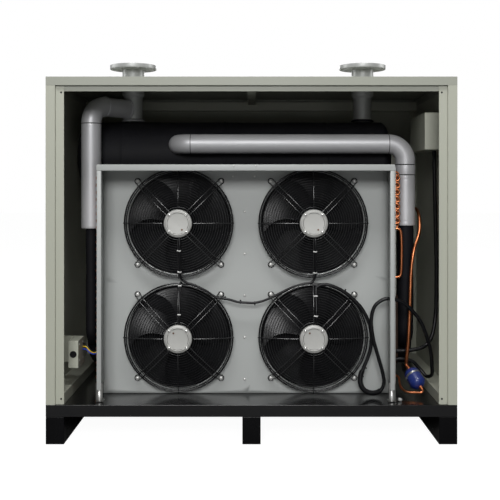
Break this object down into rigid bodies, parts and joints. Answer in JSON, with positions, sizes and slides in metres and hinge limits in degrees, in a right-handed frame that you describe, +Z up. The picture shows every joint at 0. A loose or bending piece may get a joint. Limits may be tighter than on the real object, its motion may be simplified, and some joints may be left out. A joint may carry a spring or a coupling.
{
  "type": "refrigerated air dryer",
  "caption": "Floor-standing refrigerated compressed-air dryer with the front cover off: fan-cooled condenser, insulated heat exchanger, flanged top connections, skid base.",
  "frame": {"origin": "middle of the underside of the skid, on the floor", "axes": "+X to the right seen from the open front, +Y to the back, +Z up"},
  "size_m": [1.8, 1, 1.732],
  "materials": {
    "cabinet_paint": "beige-grey powder coat, fine texture",
    "shroud_paint": "light grey powder coat",
    "skid_paint": "satin black paint",
    "guard_wire": "black coated steel wire",
    "fan_blade": "satin black steel",
    "cast_cover": "cast, light silver",
    "coil_fins": "fine aluminium fins",
    "lagging": "closed-cell black insulation",
    "pipe_foil": "silver painted pipe",
    "copper": "bare copper tube",
    "drier_paint": "gloss blue paint",
    "zinc": "zinc plated sheet",
    "cable_jacket": "black jacket",
    "brass": "machined brass",
    "lever_red": "red dipped sleeve"
  },
  "bodies": {
    "cabinet": {"back_panel": "cabinet_paint", "base_tray": "skid_paint", "compressor": "skid_paint", "condenser_coil": "coil_fins", "condenser_end_plate_left": "zinc", "condenser_end_plate_right": "zinc", "condenser_header": "copper", "control_box": "cabinet_paint", "cross_elbow": "pipe_foil", "cross_pipe": "pipe_foil", "discharge_line": "copper", "drain_valve": "brass", "evaporator": "lagging", "expansion_line": "copper", "fan_cable_bottom_left": "cable_jacket", "fan_cable_lower": "cable_jacket", "fan_cable_upper": "cable_jacket", "fan_guard_bottom_left": "guard_wire", "fan_guard_bottom_right": "guard_wire", "fan_guard_top_left": "guard_wire", "fan_guard_top_right": "guard_wire", "fan_motor_bottom_left": "cast_cover", "fan_motor_bottom_right": "cast_cover", "fan_motor_top_left": "cast_cover", "fan_motor_top_right": "cast_cover", "fan_shroud": "shroud_paint", "filter_drier": "drier_paint", "floor_ledge_left": "cabinet_paint", "floor_ledge_right": "cabinet_paint", "front_post_left": "cabinet_paint", "front_post_right": "cabinet_paint", "heat_exchanger": "lagging", "inlet_branch": "pipe_foil", "inlet_drop_pipe": "pipe_foil", "inlet_elbow": "pipe_foil", "inlet_lagged_pipe": "lagging", "inlet_neck": "pipe_foil", "junction_box": "cabinet_paint", "lid": "cabinet_paint", "liquid_line": "copper", "liquid_receiver": "skid_paint", "outlet_neck": "pipe_foil", "pipe_coupling": "pipe_foil", "riser_lagged_pipe": "lagging", "riser_pipe": "pipe_foil", "roof_frame": "cabinet_paint", "side_panel_left": "cabinet_paint", "side_panel_right": "cabinet_paint", "skid_runner_left": "skid_paint", "skid_runner_middle": "skid_paint", "skid_runner_right": "skid_paint", "supply_cable": "cable_jacket", "top_rail": "cabinet_paint", "vessel_stand_left": "skid_paint", "vessel_stand_right": "skid_paint"},
    "fan_rotor_body_top_left": {"fan_rotor_top_left": "fan_blade"},
    "fan_rotor_body_top_right": {"fan_rotor_top_right": "fan_blade"},
    "fan_rotor_body_bottom_left": {"fan_rotor_bottom_left": "fan_blade"},
    "fan_rotor_body_bottom_right": {"fan_rotor_bottom_right": "fan_blade"},
    "drain_lever_body": {"drain_lever": "lever_red"}
  },
  "joints": [
    {"name": "fan_spin_top_left", "type": "hinge", "parent": "cabinet", "child": "fan_rotor_body_top_left", "pos_m": [-0.333, -0.3, 0.9605], "axis": [0, 1, 0], "continuous": true},
    {"name": "fan_spin_top_right", "type": "hinge", "parent": "cabinet", "child": "fan_rotor_body_top_right", "pos_m": [0.282, -0.3, 0.9605], "axis": [0, 1, 0], "continuous": true},
    {"name": "fan_spin_bottom_left", "type": "hinge", "parent": "cabinet", "child": "fan_rotor_body_bottom_left", "pos_m": [-0.333, -0.3, 0.4375], "axis": [0, 1, 0], "continuous": true},
    {"name": "fan_spin_bottom_right", "type": "hinge", "parent": "cabinet", "child": "fan_rotor_body_bottom_right", "pos_m": [0.282, -0.3, 0.4375], "axis": [0, 1, 0], "continuous": true},
    {"name": "drain_lever_turn", "type": "hinge", "parent": "cabinet", "child": "drain_lever_body", "pos_m": [-0.3, 0.026, 0.213], "axis": [0, -1, 0], "range_deg": [0, 90]}
  ]
}
